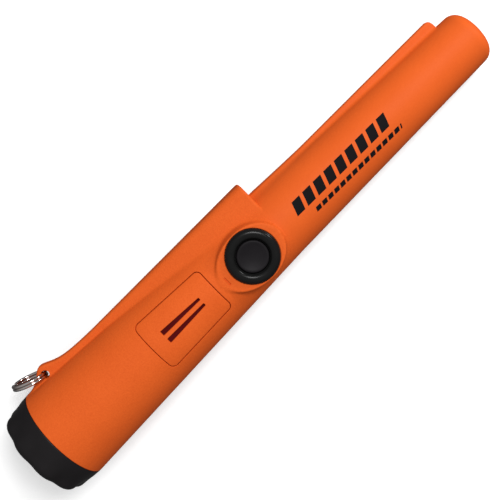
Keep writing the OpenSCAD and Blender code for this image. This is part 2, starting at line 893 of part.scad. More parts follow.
module winding(x0, x1) {
    difference() {
        bar(x0, x1, wind_r);
        bar(x0 - over, x1 + over, bobbin_r);
    }
}

module transmit_coil() {
    color([0.72, 0.4, 0.18]) winding(tx_x0, tx_x1 - wind_gap);
}

module receive_coils() {
    color([0.72, 0.4, 0.18]) {
        winding(rod_x0 + flange_w + wind_gap, rx_x1 - wind_gap);
        winding(rx_x1 + flange_w + wind_gap, rx_end - wind_gap);
    }
}

module coil_leads() {
    color([0.75, 0.55, 0.15]) for (side = [-1, 0, 1])
        translate([0, side * lead_y, board_z + lead_r + snug])
        bar(board_x1 - lead_in, rod_x0, lead_r);
}

module tip_cushion() {
    cushion_r = bore_at(cushion_end) - (tip_round - wall) - cushion_slip;
    color([0.3, 0.3, 0.32]) difference() {
        bar(cushion_x0, cushion_end, cushion_r);
        bar(cushion_x0 - over, rod_x1 + 2 * cushion_slip, rod_r + cushion_slip);
    }
}

housing_shell();
thread_ring();
battery_cap();
cap_pad();
o_ring();
split_ring();
button_surround();
button_key();
key_plunger();
switch_body();
switch_stem();
speaker_panel();
speaker_membrane();
speaker_gasket();
speaker_driver();
speaker_magnet();
lamp_lens();
lamp_led();
battery_case();
battery_cells();
battery_terminals();
battery_rails();
contact_plate();
battery_contacts();
battery_leads();
chassis_tray();
main_board();
board_chips();
board_capacitors();
board_screws();
motor_cradle();
motor_can();
motor_shaft();
motor_weight();
coil_bobbin();
ferrite_rod();
transmit_coil();
receive_coils();
coil_leads();
tip_cushion();
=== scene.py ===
# %% [markdown]
# # A hand-held metal-detecting probe
# The probe is a tapered plastic housing about 229 mm long, with a black screw cap at the thick
# end, a lamp block and scraping blade along one side, a push button and a speaker panel. The
# CAD frame fixes every place and every moving body. This script adds the looks: smooth moulded
# forms, round edges, threads, coils and procedural finishes. The frame is loaded first, because
# all sizes below are read from it or are shape values of the same pieces.

# %% The frame and its sizes
import json
import math

import bmesh
import bpy
import numpy as np
from mathutils import Matrix, Vector


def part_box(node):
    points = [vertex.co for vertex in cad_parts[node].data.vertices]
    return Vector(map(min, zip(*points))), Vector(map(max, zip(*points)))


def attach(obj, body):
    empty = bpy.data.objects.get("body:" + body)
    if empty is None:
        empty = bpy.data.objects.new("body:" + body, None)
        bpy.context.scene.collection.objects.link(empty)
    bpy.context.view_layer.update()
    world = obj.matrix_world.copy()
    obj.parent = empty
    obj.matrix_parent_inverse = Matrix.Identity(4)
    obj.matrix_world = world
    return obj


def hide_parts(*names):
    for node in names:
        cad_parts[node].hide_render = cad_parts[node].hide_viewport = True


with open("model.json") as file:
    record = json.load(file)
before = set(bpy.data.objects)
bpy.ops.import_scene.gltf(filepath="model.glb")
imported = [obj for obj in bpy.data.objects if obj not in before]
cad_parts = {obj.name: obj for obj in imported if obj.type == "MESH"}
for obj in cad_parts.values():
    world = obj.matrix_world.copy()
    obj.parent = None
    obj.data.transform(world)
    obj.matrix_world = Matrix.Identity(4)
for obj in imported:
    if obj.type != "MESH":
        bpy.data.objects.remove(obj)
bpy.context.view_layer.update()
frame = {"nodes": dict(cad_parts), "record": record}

MM = 0.001


def node_box(name):
    """Lowest and highest corner of a CAD node, in millimetres."""
    low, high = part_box(name)
    return np.array(low) / MM, np.array(high) / MM


shell_low, shell_high = node_box("housing_shell")
cap_high = node_box("battery_cap")[1]
surround_low, surround_high = node_box("button_surround")
key_low, key_high = node_box("button_key")
panel_low, panel_high = node_box("speaker_panel")
lens_low, lens_high = node_box("lamp_lens")

MOUTH_X, PROBE_LEN = shell_low[0], shell_high[0]
MOUTH_R = cap_high[2]
STEP_X = lens_high[0]
BUTTON_X = (surround_low[0] + surround_high[0]) / 2
print(f"housing from {MOUTH_X:.1f} to {PROBE_LEN:.1f} mm, lamp step at {STEP_X:.1f} mm")

# %% [markdown]
# ## The camera
# The probe lies on its side and is seen from above, a little from the blade's side, with the
# cap low on the left and the tip high on the right. A longish lens close to the object gives
# the gentle perspective that makes the cap look larger than the tip.

# %% Camera
CAMERA_DISTANCE, CAMERA_X = 340, 120
CAMERA_LEAN = math.radians(8.3)
CAMERA_ROLL = math.radians(44.4)
LOOK_X, LOOK_Y = 110.7, 0.1
LENS = 0.190 * CAMERA_DISTANCE

back = Vector((0, math.sin(CAMERA_LEAN), math.cos(CAMERA_LEAN)))
along = Vector((1, 0, 0))
across = back.cross(along)
right = math.cos(CAMERA_ROLL) * along - math.sin(CAMERA_ROLL) * across
up = math.sin(CAMERA_ROLL) * along + math.cos(CAMERA_ROLL) * across
camera_data = bpy.data.cameras.new("camera")
camera_data.lens, camera_data.sensor_width = LENS, 36
off_centre = along * (LOOK_X - CAMERA_X) * LENS / (CAMERA_DISTANCE * camera_data.sensor_width)
camera_data.shift_x, camera_data.shift_y = off_centre.dot(right), off_centre.dot(up)
camera_data.clip_start, camera_data.clip_end = 0.01, 20
camera = bpy.data.objects.new("camera", camera_data)
turn = Matrix((right, up, back)).transposed().to_4x4()
spot = (along * CAMERA_X + across * LOOK_Y + back * CAMERA_DISTANCE) * MM
camera.matrix_world = Matrix.Translation(spot) @ turn
bpy.context.scene.collection.objects.link(camera)
bpy.context.scene.camera = camera
print("camera at", [round(v, 3) for v in spot])

# %% [markdown]
# ## Tools for meshes
# Most pieces are turned or moulded shapes. A few helpers make them: one builds a mesh from
# rings of points, one turns a profile into rings, and one cuts or joins closed solids. Sharp
# edges are found by angle, so flat and curved faces both shade as they should.

# %% Mesh helpers
SHARP = math.radians(32)


def new_piece(name, points, faces, material=None):
    """A mesh object at the origin from points in millimetres."""
    mesh = bpy.data.meshes.new(name)
    mesh.from_pydata((np.asarray(points) * MM).tolist(), [], faces)
    mesh.update()
    piece = bpy.data.objects.new(name, mesh)
    bpy.context.scene.collection.objects.link(piece)
    if material:
        mesh.materials.append(material)
    return piece


def ring_faces(rings, around, closed_ends=True, loop=False):
    """Quads between rings of points, and a flat face on the first and the last ring."""
    index = np.arange(rings * around).reshape(rings, around)
    nearer = index if loop else index[:-1]
    further = np.roll(index, -1, axis=0) if loop else index[1:]
    quads = np.stack([nearer, np.roll(nearer, -1, axis=1),
                      np.roll(further, -1, axis=1), further], axis=-1)
    faces = quads.reshape(-1, 4).tolist()
    if closed_ends and not loop:
        faces.append(index[0][::-1].tolist())
        faces.append(index[-1].tolist())
    return faces


def tidy(piece, angle=SHARP, merge=0.0005):
    """Merges doubles, points the faces outwards and marks sharp edges."""
    work = bmesh.new()
    work.from_mesh(piece.data)
    bmesh.ops.remove_doubles(work, verts=work.verts, dist=merge * MM)
    bmesh.ops.dissolve_degenerate(work, edges=work.edges, dist=merge * MM)
    bmesh.ops.recalc_face_normals(work, faces=work.faces)
    for face in work.faces:
        face.smooth = True
    for edge in work.edges:
        edge.smooth = len(edge.link_faces) == 2 and edge.calc_face_angle(0) < angle
    work.to_mesh(piece.data)
    work.free()
    piece.data.update()
    return piece


def lathe(name, profile, around=128, origin=(0, 0, 0), axis="X", change=None, loop=False):
    """Turns a profile of (height, radius) points. change may alter the radii of a ring."""
    turn = np.linspace(0, 2 * math.pi, around, endpoint=False)
    rows = []
    for height, radius in profile:
        radii = np.full(around, max(radius, 0.001), float)
        if change is not None:
            radii = change(height, radii, turn)
        side_a, side_b = radii * np.cos(turn), radii * np.sin(turn)
        tall = np.full(around, height, float)
        rows.append(np.stack([tall, side_a, side_b] if axis == "X"
                             else [side_a, side_b, tall], axis=-1))
    points = np.concatenate(rows) + np.asarray(origin, float)
    return tidy(new_piece(name, points, ring_faces(len(rows), around, loop=loop)))


def arc(cx, cy, radius, start, end, step_count=8):
    """Points of an arc in degrees."""
    turn = np.radians(np.linspace(start, end, step_count + 1))
    return [(cx + radius * math.cos(a), cy + radius * math.sin(a)) for a in turn]


def arc_along(x, r, radius, start, end, step_count=8):
    """Points (x, r) of an arc whose angle runs from the radius towards +X."""
    return [(b, a) for a, b in arc(r, x, radius, start, end, step_count)]


def combine(piece, other, operation):
    """Cuts or joins two closed solids, and removes the second one."""
    modifier = piece.modifiers.new("combine", "BOOLEAN")
    modifier.object, modifier.operation, modifier.solver = other, operation, "MANIFOLD"
    ready = piece.evaluated_get(bpy.context.evaluated_depsgraph_get())
    mesh = bpy.data.meshes.new_from_object(ready)
    piece.modifiers.clear()
    old, piece.data = piece.data, mesh
    bpy.data.meshes.remove(old)
    bpy.data.objects.remove(other)
    return piece


# %% [markdown]
# ## The housing's shape
# The housing is a moulded shell whose parts flow into one another: a cone for the handle, a
# thin fin with the lanyard lug, a lamp block that grows out of the fin, a boss under the button
# and a scraping blade on the shaft. Modelling each with its own edges would leave hard joins.
# Here each part is a distance function, and the parts are joined by a smooth minimum, which
# rounds every join as a mould maker's cutter does. The surface is then found along rays from
# the probe's axis, ring by ring.

# %% Shape values of the housing
SHOULDER_R, TIP_R, TIP_ROUND = 14.1, 11.0, 4.5
FIN_HALF, BLOCK_HALF = 2.5, 6.5
SPINE_Y, BLOCK_Y = MOUTH_R + 0.55, MOUTH_R + 1.5
LUG_X, LUG_Y, LUG_TOP, LUG_HOLE = 23.7, MOUTH_R + 1.1, MOUTH_R + 4.7, 1.55
BLOCK_START = STEP_X - 74
BLADE_Y0, BLADE_Y1, BLADE_HALF = 14.5, 15.4, 1.9
BLADE_END, BLADE_ROUND = PROBE_LEN - 10, 2.0
BOSS_TOP, BOSS_SIDE, BOSS_FLARE = 15.7, 10.75, 0.12
BOSS_CAP_END, BOSS_TIP_END = 15.4, 13.6
LUG_WIDTH_CAP, LUG_WIDTH_TIP, LUG_REACH, LUG_SINK = 4.3, 5.8, 24, 0.2
LUG_START, LUG_END = MOUTH_X + 0.8, LUG_X + LUG_REACH
CREASE_START, CREASE_TURN, CREASE_POWER = 8.5, 40.5, 1.05
WALL = 1.9
JOIN_BLOCK, JOIN_BOSS, EDGE_BOSS, EDGE_BLADE = 0.7, 0.7, 0.6, 1.1
EDGE_BLOCK, EDGE_BLOCK_GROWTH = 1.3, 1.6
JOIN_BLADE, JOIN_BLADE_GROWTH, JOIN_BLADE_RUN = 1.6, 3.0, 30
FAR_OUTSIDE = 9.0


def handle_r(x):
    return MOUTH_R + (SHOULDER_R - MOUTH_R) * (x - MOUTH_X) / (STEP_X - MOUTH_X)


def shaft_r(x):
    return SHOULDER_R + (TIP_R - SHOULDER_R) * (x - STEP_X) / (PROBE_LEN - STEP_X)


def smooth_min(a, b, k):
    h = np.clip(k - np.abs(a - b), 0, None) / k
    return np.minimum(a, b) - h * h * k / 4


def smooth_max(a, b, k):
    return -smooth_min(-a, -b, k)


def ease(t):
    t = np.clip(t, 0, 1)
    return t * t * (3 - 2 * t)


def top_line(x):
    """Height of the fin's and the lamp block's edge over the axis, with the lug's hump."""
    line = SPINE_Y + (BLOCK_Y - SPINE_Y) * (x - LUG_X) / (STEP_X - LUG_X)
    low = handle_r(LUG_START) - LUG_SINK
    rear = low + (SPINE_Y - low) * (x - LUG_START) / (LUG_X - LUG_START)
    line = np.where(x < LUG_X, rear, line)
    width = np.where(x < LUG_X, LUG_WIDTH_CAP, LUG_WIDTH_TIP)
    end = np.where(x < LUG_X, LUG_START, LUG_END)
    hump = 1 / (1 + ((x - LUG_X) / width) ** 2)
    foot = 1 / (1 + ((end - LUG_X) / width) ** 2)
    return line + (LUG_TOP - SPINE_Y) * np.clip((hump - foot) / (1 - foot), 0, 1)


def block_side(x):
    """Normal angle and distance of the block's side plane, seen along the axis."""
    share = np.clip((x - BLOCK_START) / (STEP_X - BLOCK_START), 0, 1)
    crease = np.radians(CREASE_START + CREASE_TURN * share ** CREASE_POWER)
    low_y, low_z = handle_r(x) * np.cos(crease), handle_r(x) * np.sin(crease)
    top_y, top_z = top_line(x), FIN_HALF + (BLOCK_HALF - FIN_HALF) * share
    run_y, run_z = top_y - low_y, top_z - low_z
    long = np.hypot(run_y, run_z)
    normal_y, normal_z = -run_z / long, run_y / long
    normal_y = np.where(share > 0, normal_y, 0)
    normal_z = np.where(share > 0, normal_z, 1)
    return normal_y, normal_z, normal_y * top_y + normal_z * top_z, share


def handle_field(x, y, z, shrink=0.0):
    """Signed distance to the handle's surface. shrink takes the block's edge back."""
    round_part = np.hypot(y, z) - handle_r(x)
    normal_y, normal_z, offset, share = block_side(x)
    side = normal_y * y + normal_z * np.abs(z) - offset
    round_edge = EDGE_BLOCK + EDGE_BLOCK_GROWTH * share
    block = smooth_max(side, y - top_line(x), round_edge) + shrink
    block = np.maximum(block, -y)
    body = smooth_min(round_part, block, JOIN_BLOCK)
    end = np.where(x < BUTTON_X, BOSS_CAP_END, BOSS_TIP_END)
    spread = (np.hypot((x - BUTTON_X) / end, y / BOSS_SIDE) - 1) * BOSS_SIDE
    spread = spread - BOSS_FLARE * (BOSS_TOP - z)
    boss = smooth_max(spread, z - BOSS_TOP, EDGE_BOSS)
    boss = np.where(z > 0, boss, FAR_OUTSIDE)
    return smooth_min(body, boss, JOIN_BOSS)


def shaft_field(x, y, z):
    """Signed distance to the shaft's surface, with the scraping blade."""
    tip = np.clip(x - (PROBE_LEN - TIP_ROUND), 0, TIP_ROUND)
    drop = TIP_ROUND - np.sqrt(np.clip(TIP_ROUND ** 2 - tip ** 2, 0, None))
    round_part = np.hypot(y, z) - shaft_r(x) + drop
    edge = BLADE_Y0 + (BLADE_Y1 - BLADE_Y0) * (x - STEP_X) / (BLADE_END - STEP_X)
    past = np.clip(x - (BLADE_END - BLADE_ROUND), 0, BLADE_ROUND)
    edge = edge - BLADE_ROUND + np.sqrt(np.clip(BLADE_ROUND ** 2 - past ** 2, 0, None))
    blade = smooth_max(np.abs(z) - BLADE_HALF, y - edge, EDGE_BLADE)
    blade = np.where((x <= BLADE_END) & (y > 0), blade, FAR_OUTSIDE)
    near_block = np.clip(1 - (x - STEP_X) / JOIN_BLADE_RUN, 0, 1)
    return smooth_min(round_part, blade, JOIN_BLADE + JOIN_BLADE_GROWTH * near_block)


# %% [markdown]
# Each ring of the skin comes from rays that step in from outside until they meet the shape, and
# then halve the last step. Blended parts need no cutting that way.

# %% Rays from the axis
RAY_REACH, RAY_CORE, RAY_STEP, HALVINGS = 27.0, 4.0, 0.25, 16


def surface_radius(field, x, turn, reach=RAY_REACH):
    """Radius at which the outermost surface lies, for each ray of one ring."""
    outside, inside = np.full(len(turn), reach), np.full(len(turn), reach)
    y, z = np.cos(turn), np.sin(turn)
    found = np.zeros(len(turn), bool)
    for radius in np.arange(reach, RAY_CORE, -RAY_STEP):
        hit = (field(x, radius * y, radius * z) < 0) & ~found
        inside[hit], outside[hit] = radius, radius + RAY_STEP
        found |= hit
    inside[~found], outside[~found] = 0.01, RAY_CORE
    for _ in range(HALVINGS):
        middle = (inside + outside) / 2
        deep = field(x, middle * y, middle * z) < 0
        inside, outside = np.where(deep, middle, inside), np.where(deep, outside, middle)
    return (inside + outside) / 2


def steps(start, end, size):
    count = max(int(round((end - start) / size)), 1)
    return np.linspace(start, end, count, endpoint=False)


half_turn = np.concatenate([steps(0, 12.5, 0.3), steps(12.5, 30, 1.0), steps(30, 62, 1.3),
                            steps(62, 130, 0.8), steps(130, 180, 3)])
TURN = np.radians(np.concatenate([half_turn, [180], -half_turn[:0:-1]]))
print(f"{len(TURN)} rays in each ring")

# %% [markdown]
# The rings lie close together where the shape changes quickly, at the lug, the boss and the
# blade's end, and further apart on the plain cone. The lamp step is a flat face: the last ring
# of the handle and the first ring of the shaft share one place along the axis.

# %% The housing's outer skin
MOUTH_EDGE = 0.5
STEP_EDGE = 1.0
rings = []
for share in (1.0, 0.6, 0.3, 0.1):
    x = MOUTH_X + MOUTH_EDGE * (1 - math.sqrt(1 - (1 - share) ** 2))
    rings.append((x, surface_radius(handle_field, x, TURN) - MOUTH_EDGE * (1 - math.sqrt(
        max(1 - share ** 2, 0)))))
handle_x = np.concatenate([steps(MOUTH_X + MOUTH_EDGE, LUG_END - 10, 0.5),
                           steps(LUG_END - 10, BUTTON_X - 18, 1.1),
                           steps(BUTTON_X - 18, STEP_X - STEP_EDGE, 0.55)])
for x in handle_x:
    rings.append((x, surface_radius(handle_field, x, TURN)))
for corner in np.radians(np.linspace(0, 90, 6)):
    x = STEP_X - STEP_EDGE * (1 - math.sin(corner))
    back_off = STEP_EDGE * (1 - math.cos(corner))
    rings.append((x, surface_radius(
        lambda x, y, z: handle_field(x, y, z, back_off), x, TURN)))
rings.append((STEP_X, surface_radius(shaft_field, STEP_X, TURN)))
shaft_x = np.concatenate([steps(STEP_X + 0.8, BLADE_END - 3, 1.1),
                          steps(BLADE_END - 3, BLADE_END, 0.25), [BLADE_END],
                          steps(BLADE_END + 0.02, PROBE_LEN - TIP_ROUND, 0.8)])
for x in shaft_x:
    rings.append((x, surface_radius(shaft_field, x, TURN)))
for corner in np.radians(np.linspace(0, 88, 14)):
    x = PROBE_LEN - TIP_ROUND + TIP_ROUND * math.sin(corner)
    rings.append((x, surface_radius(shaft_field, x, TURN)))
points = np.concatenate([np.stack([np.full(len(TURN), x), r * np.cos(TURN),
                                   r * np.sin(TURN)], axis=-1) for x, r in rings])
points[-len(TURN):, 0] = PROBE_LEN
housing = tidy(new_piece("housing", points, ring_faces(len(rings), len(TURN))))
print(f"skin of {len(rings)} rings, {len(housing.data.polygons)} faces")

# %% [markdown]
# ## Hollowing and cutting the housing
# Openings are cut by closed solids: the inner room, the button's seat, the lamp's bore, the lug
# hole and the speaker's pocket. A real mould leaves no razor edges, so each cutter flares a
# little at the surface and leaves a small chamfer that catches the light.

# %% Inner room, lamp bore, lug hole and button seat
SEAT_Z, SEAT_R = surround_low[2], (surround_high[0] - surround_low[0]) / 2 + 0.05
WELL_R = (key_high[0] - key_low[0]) / 2 + 0.4
LENS_Y, LENS_R = (lens_low[1] + lens_high[1]) / 2, (lens_high[1] - lens_low[1]) / 2
BAY_R, THREAD_SEAT_R, THREAD_END, BAY_END = 15.2, 17.95, 20.6, 55.8


def cut(piece, cutter):
    return combine(piece, cutter, "DIFFERENCE")


def bore(x):
    return (handle_r(x) if x < STEP_X else shaft_r(x)) - WALL


room_end, ROOM_ROUND = PROBE_LEN - WALL, TIP_ROUND - WALL
room = lathe("room", [(MOUTH_X - 2, THREAD_SEAT_R + 0.4), (MOUTH_X, THREAD_SEAT_R + 0.3),
                      (MOUTH_X + 0.3, THREAD_SEAT_R), (THREAD_END, THREAD_SEAT_R),
                      (THREAD_END, BAY_R), (BAY_END, BAY_R), (BAY_END, bore(BAY_END)),
                      (STEP_X, bore(STEP_X)), (room_end - ROOM_ROUND, bore(room_end - ROOM_ROUND))]
             + arc_along(room_end - ROOM_ROUND, bore(room_end) - ROOM_ROUND, ROOM_ROUND, 0, 80, 4)
             + [(room_end, 0.4)], around=96)
cut(housing, room)
cut(housing, lathe("lamp_bore", [(STEP_X - 11.6, LENS_R + 0.05), (STEP_X - 0.25, LENS_R + 0.05),
                                 (STEP_X + 0.05, LENS_R + 0.35), (STEP_X + 2, LENS_R + 0.35)],
                   around=64, origin=(0, LENS_Y, 0)))
LUG_FLARE = [(-6, LUG_HOLE + 0.7), (-2.75, LUG_HOLE + 0.3), (-2.45, LUG_HOLE + 0.15),
             (-2.2, LUG_HOLE + 0.05), (-1.9, LUG_HOLE)]
cut(housing, lathe("lug_bore", LUG_FLARE + [(-h, r) for h, r in reversed(LUG_FLARE)],
                   around=48, origin=(LUG_X, LUG_Y, 0), axis="Z"))
cut(housing, lathe("seat", [(4, WELL_R), (SEAT_Z, WELL_R), (SEAT_Z, SEAT_R),
                            (BOSS_TOP - 0.3, SEAT_R), (BOSS_TOP + 0.1, SEAT_R + 0.35),
                            (BOSS_TOP + 5, SEAT_R + 0.35)],
                   around=128, origin=(BUTTON_X, 0, 0), axis="Z"))
NOTCH_X, NOTCH_HALF, NOTCH_WIDE, NOTCH_DEEP = BUTTON_X - 12.9, 1.65, 0.6, 0.35
notch_points = [(NOTCH_X + a * NOTCH_WIDE * (0.5 + b), side * (NOTCH_HALF + b * 0.3),
                 BOSS_TOP - NOTCH_DEEP + 3 * b) for b in (0, 1)
                for a, side in ((-1, -1), (1, -1), (1, 1), (-1, 1))]
cut(housing, tidy(new_piece("notch", notch_points, ring_faces(2, 4))))
print("housing bored:", len(housing.data.polygons), "faces")

# %% [markdown]
# ## The speaker panel
# The panel is a moulded plate that lies flush in a pocket of the cone, with two slots that
# taper towards the tip. It is drawn flat, with its round outline, rim and slots, sliced into
# narrow strips and then bent onto the cone. The pocket's cutter is made by the same function
# with a larger outline, so panel and pocket always agree.

# %% Plates bent onto the cone
PANEL_X, PANEL_L = panel_low[0], panel_high[0] - panel_low[0]
PANEL_W0, PANEL_W1, PANEL_CORNER, PANEL_T = 20.6, 18.4, 2.0, 1.2
PANEL_TURN = math.radians(4.5)
SLOT_X, SLOT_L, SLOT_WIDE, SLOT_NARROW = PANEL_X + 6.2, 18.4, 1.9, 1.0
SLOT_PITCH0, SLOT_PITCH1 = 3.65, 2.75


def panel_outline(grow):
    x0, x1 = PANEL_X - grow, PANEL_X + PANEL_L + grow
    h0, h1 = PANEL_W0 / 2 + grow, PANEL_W1 / 2 + grow
    r = max(PANEL_CORNER + grow, 0.3)
    return (arc(x1 - r, h1 - r, r, 0, 90) + arc(x0 + r, h0 - r, r, 90, 180)
            + arc(x0 + r, r - h0, r, 180, 270) + arc(x1 - r, r - h1, r, 270, 360))


def slot_outline(side, grow):
    x0, x1 = SLOT_X - grow, SLOT_X + SLOT_L + grow
    y0, y1 = side * SLOT_PITCH0 / 2, side * SLOT_PITCH1 / 2
    w0, w1 = SLOT_WIDE / 2 + grow, SLOT_NARROW / 2 + grow
    r = 0.25 + max(grow, 0)
    return (arc(x1 - r, y1 + w1 - r, r, 0, 90, 4) + arc(x0 + r, y0 + w0 - r, r, 90, 180, 4)
            + arc(x0 + r, y0 - w0 + r, r, 180, 270, 4)
            + arc(x1 - r, y1 - w1 + r, r, 270, 360, 4))


def flat_plate(name, layers, outline):
    """A flat solid from (growth, depth) layers of an outline, deepest layer first."""
    rows = [[(x, y, -depth) for x, y in outline(grow)] for grow, depth in layers]
    return tidy(new_piece(name, np.concatenate([np.array(r) for r in rows]),
                          ring_faces(len(rows), len(rows[0]))))


def bend_onto_cone(plate, strip=0.5):
    """Slices a flat plate into strips along the probe and lays it on the handle cone."""
    work = bmesh.new()
    work.from_mesh(plate.data)
    for y in np.arange(-15, 15.01, strip):
        bmesh.ops.bisect_plane(work, geom=work.verts[:] + work.edges[:] + work.faces[:],
                               plane_co=(0, y * MM, 0), plane_no=(0, 1, 0), dist=1e-7)
    for x in np.arange(PANEL_X - 2, PANEL_X + PANEL_L + 3, 5):
        bmesh.ops.bisect_plane(work, geom=work.verts[:] + work.edges[:] + work.faces[:],
                               plane_co=(x * MM, 0, 0), plane_no=(1, 0, 0), dist=1e-7)
    for vert in work.verts:
        x, y, depth = vert.co / MM
        z = math.sqrt((handle_r(x) + depth) ** 2 - y * y)
        vert.co = Vector((x, y * math.cos(PANEL_TURN) + z * math.sin(PANEL_TURN),
                          z * math.cos(PANEL_TURN) - y * math.sin(PANEL_TURN))) * MM
    work.to_mesh(plate.data)
    work.free()
    return tidy(plate)


# %% [markdown]
# The speaker panel is drawn flat and bent onto the cone. It drops into a pocket with a fine gap
# round it, and two slots let the sound out.

# %% Panel and pocket
GAP = 0.26
pocket = flat_plate("pocket", [(GAP, PANEL_T), (GAP, 0.22), (GAP + 0.05, 0.1),
                               (GAP + 0.16, 0.0), (GAP + 0.5, -1.5)], panel_outline)
cut(housing, bend_onto_cone(pocket))
opening = flat_plate("opening", [(-4.4, 6), (-4.4, PANEL_T - 0.5)], panel_outline)
cut(housing, bend_onto_cone(opening))
panel = flat_plate("speaker_panel_skin", [(0, PANEL_T), (0, 0.25), (-0.04, 0.1),
                                          (-0.14, 0.02), (-0.3, 0)], panel_outline)
for side in (-1, 1):
    slot_cutter = flat_plate("slot", [(0, PANEL_T + 1), (0, 0.3), (0.05, 0.12), (0.18, 0),
                                      (0.5, -1)], lambda g, s=side: slot_outline(s, g))
    cut(panel, slot_cutter)
bend_onto_cone(panel)
tidy(housing)
print("panel of", len(panel.data.polygons), "faces")

# %% [markdown]
# ## The battery cap
# The cap is turned from one profile: a flat end, a round rim, a side that widens to the seam,
# and inside the housing a threaded neck. Nine shallow scallops give the fingers a hold. They
# are part of the profile's radius, deepest at the rim and fading out towards the seam.

# %% Cap
CAP_LEN, CAP_ROUND, CAP_TAPER, SCALLOPS, SCALLOP_DEPTH = MOUTH_X, 3.3, 0.5, 9, 1.1
NECK_R, CUP_R, NECK_END, CAP_END = 16.2, 15.2, cap_high[0], 3.0
RIM_R = MOUTH_R - CAP_TAPER


def scallop(x, radii, turn):
    """Takes the finger scallops out of the rings outside the neck."""
    wave = (0.5 + 0.5 * np.cos(SCALLOPS * turn)) ** 1.3
    fade = 1 - ease((x - 2.5) / 7.5)
    shown = np.clip((radii - NECK_R + 1) / 1.5, 0, 1)
    return radii - SCALLOP_DEPTH * wave * fade * shown


def rows_from(points):
    return [(float(h), float(r)) for h, r in points]


rim = [(CAP_ROUND - CAP_ROUND * math.cos(a), RIM_R - CAP_ROUND + CAP_ROUND * math.sin(a))
       for a in np.radians(np.linspace(0, 90, 14))]
side = [(x, RIM_R + CAP_TAPER * (x - CAP_ROUND) / (CAP_LEN - CAP_ROUND))
        for x in np.linspace(CAP_ROUND, CAP_LEN - 0.45, 12)[1:]]
seam = [(CAP_LEN - 0.3, MOUTH_R - 0.05), (CAP_LEN - 0.18, MOUTH_R - 0.14),
        (CAP_LEN - 0.1, MOUTH_R - 0.3)]
neck = [(CAP_LEN - 0.1, NECK_R + 0.25), (CAP_LEN, NECK_R), (NECK_END - 0.3, NECK_R),
        (NECK_END, NECK_R - 0.3), (NECK_END, CUP_R + 0.15), (NECK_END - 0.2, CUP_R),
        (CAP_END + 0.5, CUP_R), (CAP_END, CUP_R - 0.5)]
middle = [(0.0, RIM_R - CAP_ROUND - d) for d in (13.5, 9.0, 5.0, 2.5)]
cap = lathe("battery_cap_moulding",
            rows_from([(0, 0.3)] + middle + rim + side + seam + neck + [(CAP_END, 0.3)]),
            around=216, change=scallop)
print("cap of", len(cap.data.polygons), "faces")

# %% [markdown]
# ## The push button
# The button has a fixed glossy surround, shaped like a ring with a rounded crest, and a softer
# key with a dished top that sits in it with a clear gap. Both are turned shapes, so a profile
# and a lathe are the simplest way to make them.

# %% Surround and key
SURROUND_OUT = (surround_high[0] - surround_low[0]) / 2
SURROUND_TOP = surround_high[2]
KEY_TOP = key_high[2]
KEY_R, FLANGE_R, FLANGE_Z = 6.0, (key_high[0] - key_low[0]) / 2, key_low[2]
SURROUND_IN = KEY_R + 0.3
crest_mid = (SURROUND_OUT + SURROUND_IN) / 2
surround_profile = ([(SEAT_Z, SURROUND_IN), (SEAT_Z, SURROUND_OUT)]
                    + [(BOSS_TOP + 0.35, SURROUND_OUT), (BOSS_TOP + 0.5, SURROUND_OUT - 0.06),
                       (BOSS_TOP + 0.6, SURROUND_OUT - 0.25)]
                    + [(BOSS_TOP + 0.6 + (SURROUND_TOP - BOSS_TOP - 0.6) * math.sin(a),
                        crest_mid + (SURROUND_OUT - 0.35 - crest_mid) * math.cos(a))
                       for a in np.radians(np.linspace(4, 172, 22))]
                    + [(BOSS_TOP + 0.3, SURROUND_IN)])
surround = lathe("button_surround_ring", surround_profile, around=144,
                 origin=(BUTTON_X, 0, 0), axis="Z", loop=True)
DISH_R, DISH_DEPTH, KEY_EDGE = 5.2, 0.75, 0.5
dish = [(KEY_TOP - DISH_DEPTH * (1 - (r / DISH_R) ** 2), r)
        for r in np.linspace(DISH_R, 0.3, 14)]
lip = [(KEY_TOP - KEY_EDGE + KEY_EDGE * math.sin(a), KEY_R - KEY_EDGE + KEY_EDGE * math.cos(a))
       for a in np.radians(np.linspace(0, 90, 7))]
key = lathe("button_key_cap", [(FLANGE_Z, 0.3), (FLANGE_Z, FLANGE_R), (FLANGE_Z + 1, FLANGE_R),
                               (FLANGE_Z + 1, KEY_R)] + lip + dish,
            around=120, origin=(BUTTON_X, 0, 0), axis="Z")
print("button parts made")

# %% [markdown]
# ## The split ring
# A split ring is one wire wound twice round, with a short ramp where it passes from one turn
# to the other. A tube that follows those two turns shows the double line that a plain ring
# would not. It hangs in the lug's hole at a set tilt.

# %% Split ring
RING_R, WIRE_R, RING_TILT, COIL_STEP = 6.5, 0.6, math.radians(20), 0.55


def tube(name, path, radius, sides=12):
    """A round tube along a path, with closed ends."""
    path = np.asarray(path, float)
    tangent = np.gradient(path, axis=0)
    tangent /= np.linalg.norm(tangent, axis=1)[:, None]
    normal = np.cross(tangent, [0.0, 0.0, 1.0])
    normal /= np.linalg.norm(normal, axis=1)[:, None]
    binormal = np.cross(tangent, normal)
    around = np.linspace(0, 2 * math.pi, sides, endpoint=False)
    grid = (path[:, None] + radius * (np.cos(around)[None, :, None] * normal[:, None]
                                      + np.sin(around)[None, :, None] * binormal[:, None]))
    return tidy(new_piece(name, grid.reshape(-1, 3), ring_faces(len(path), sides)),
                math.radians(50))


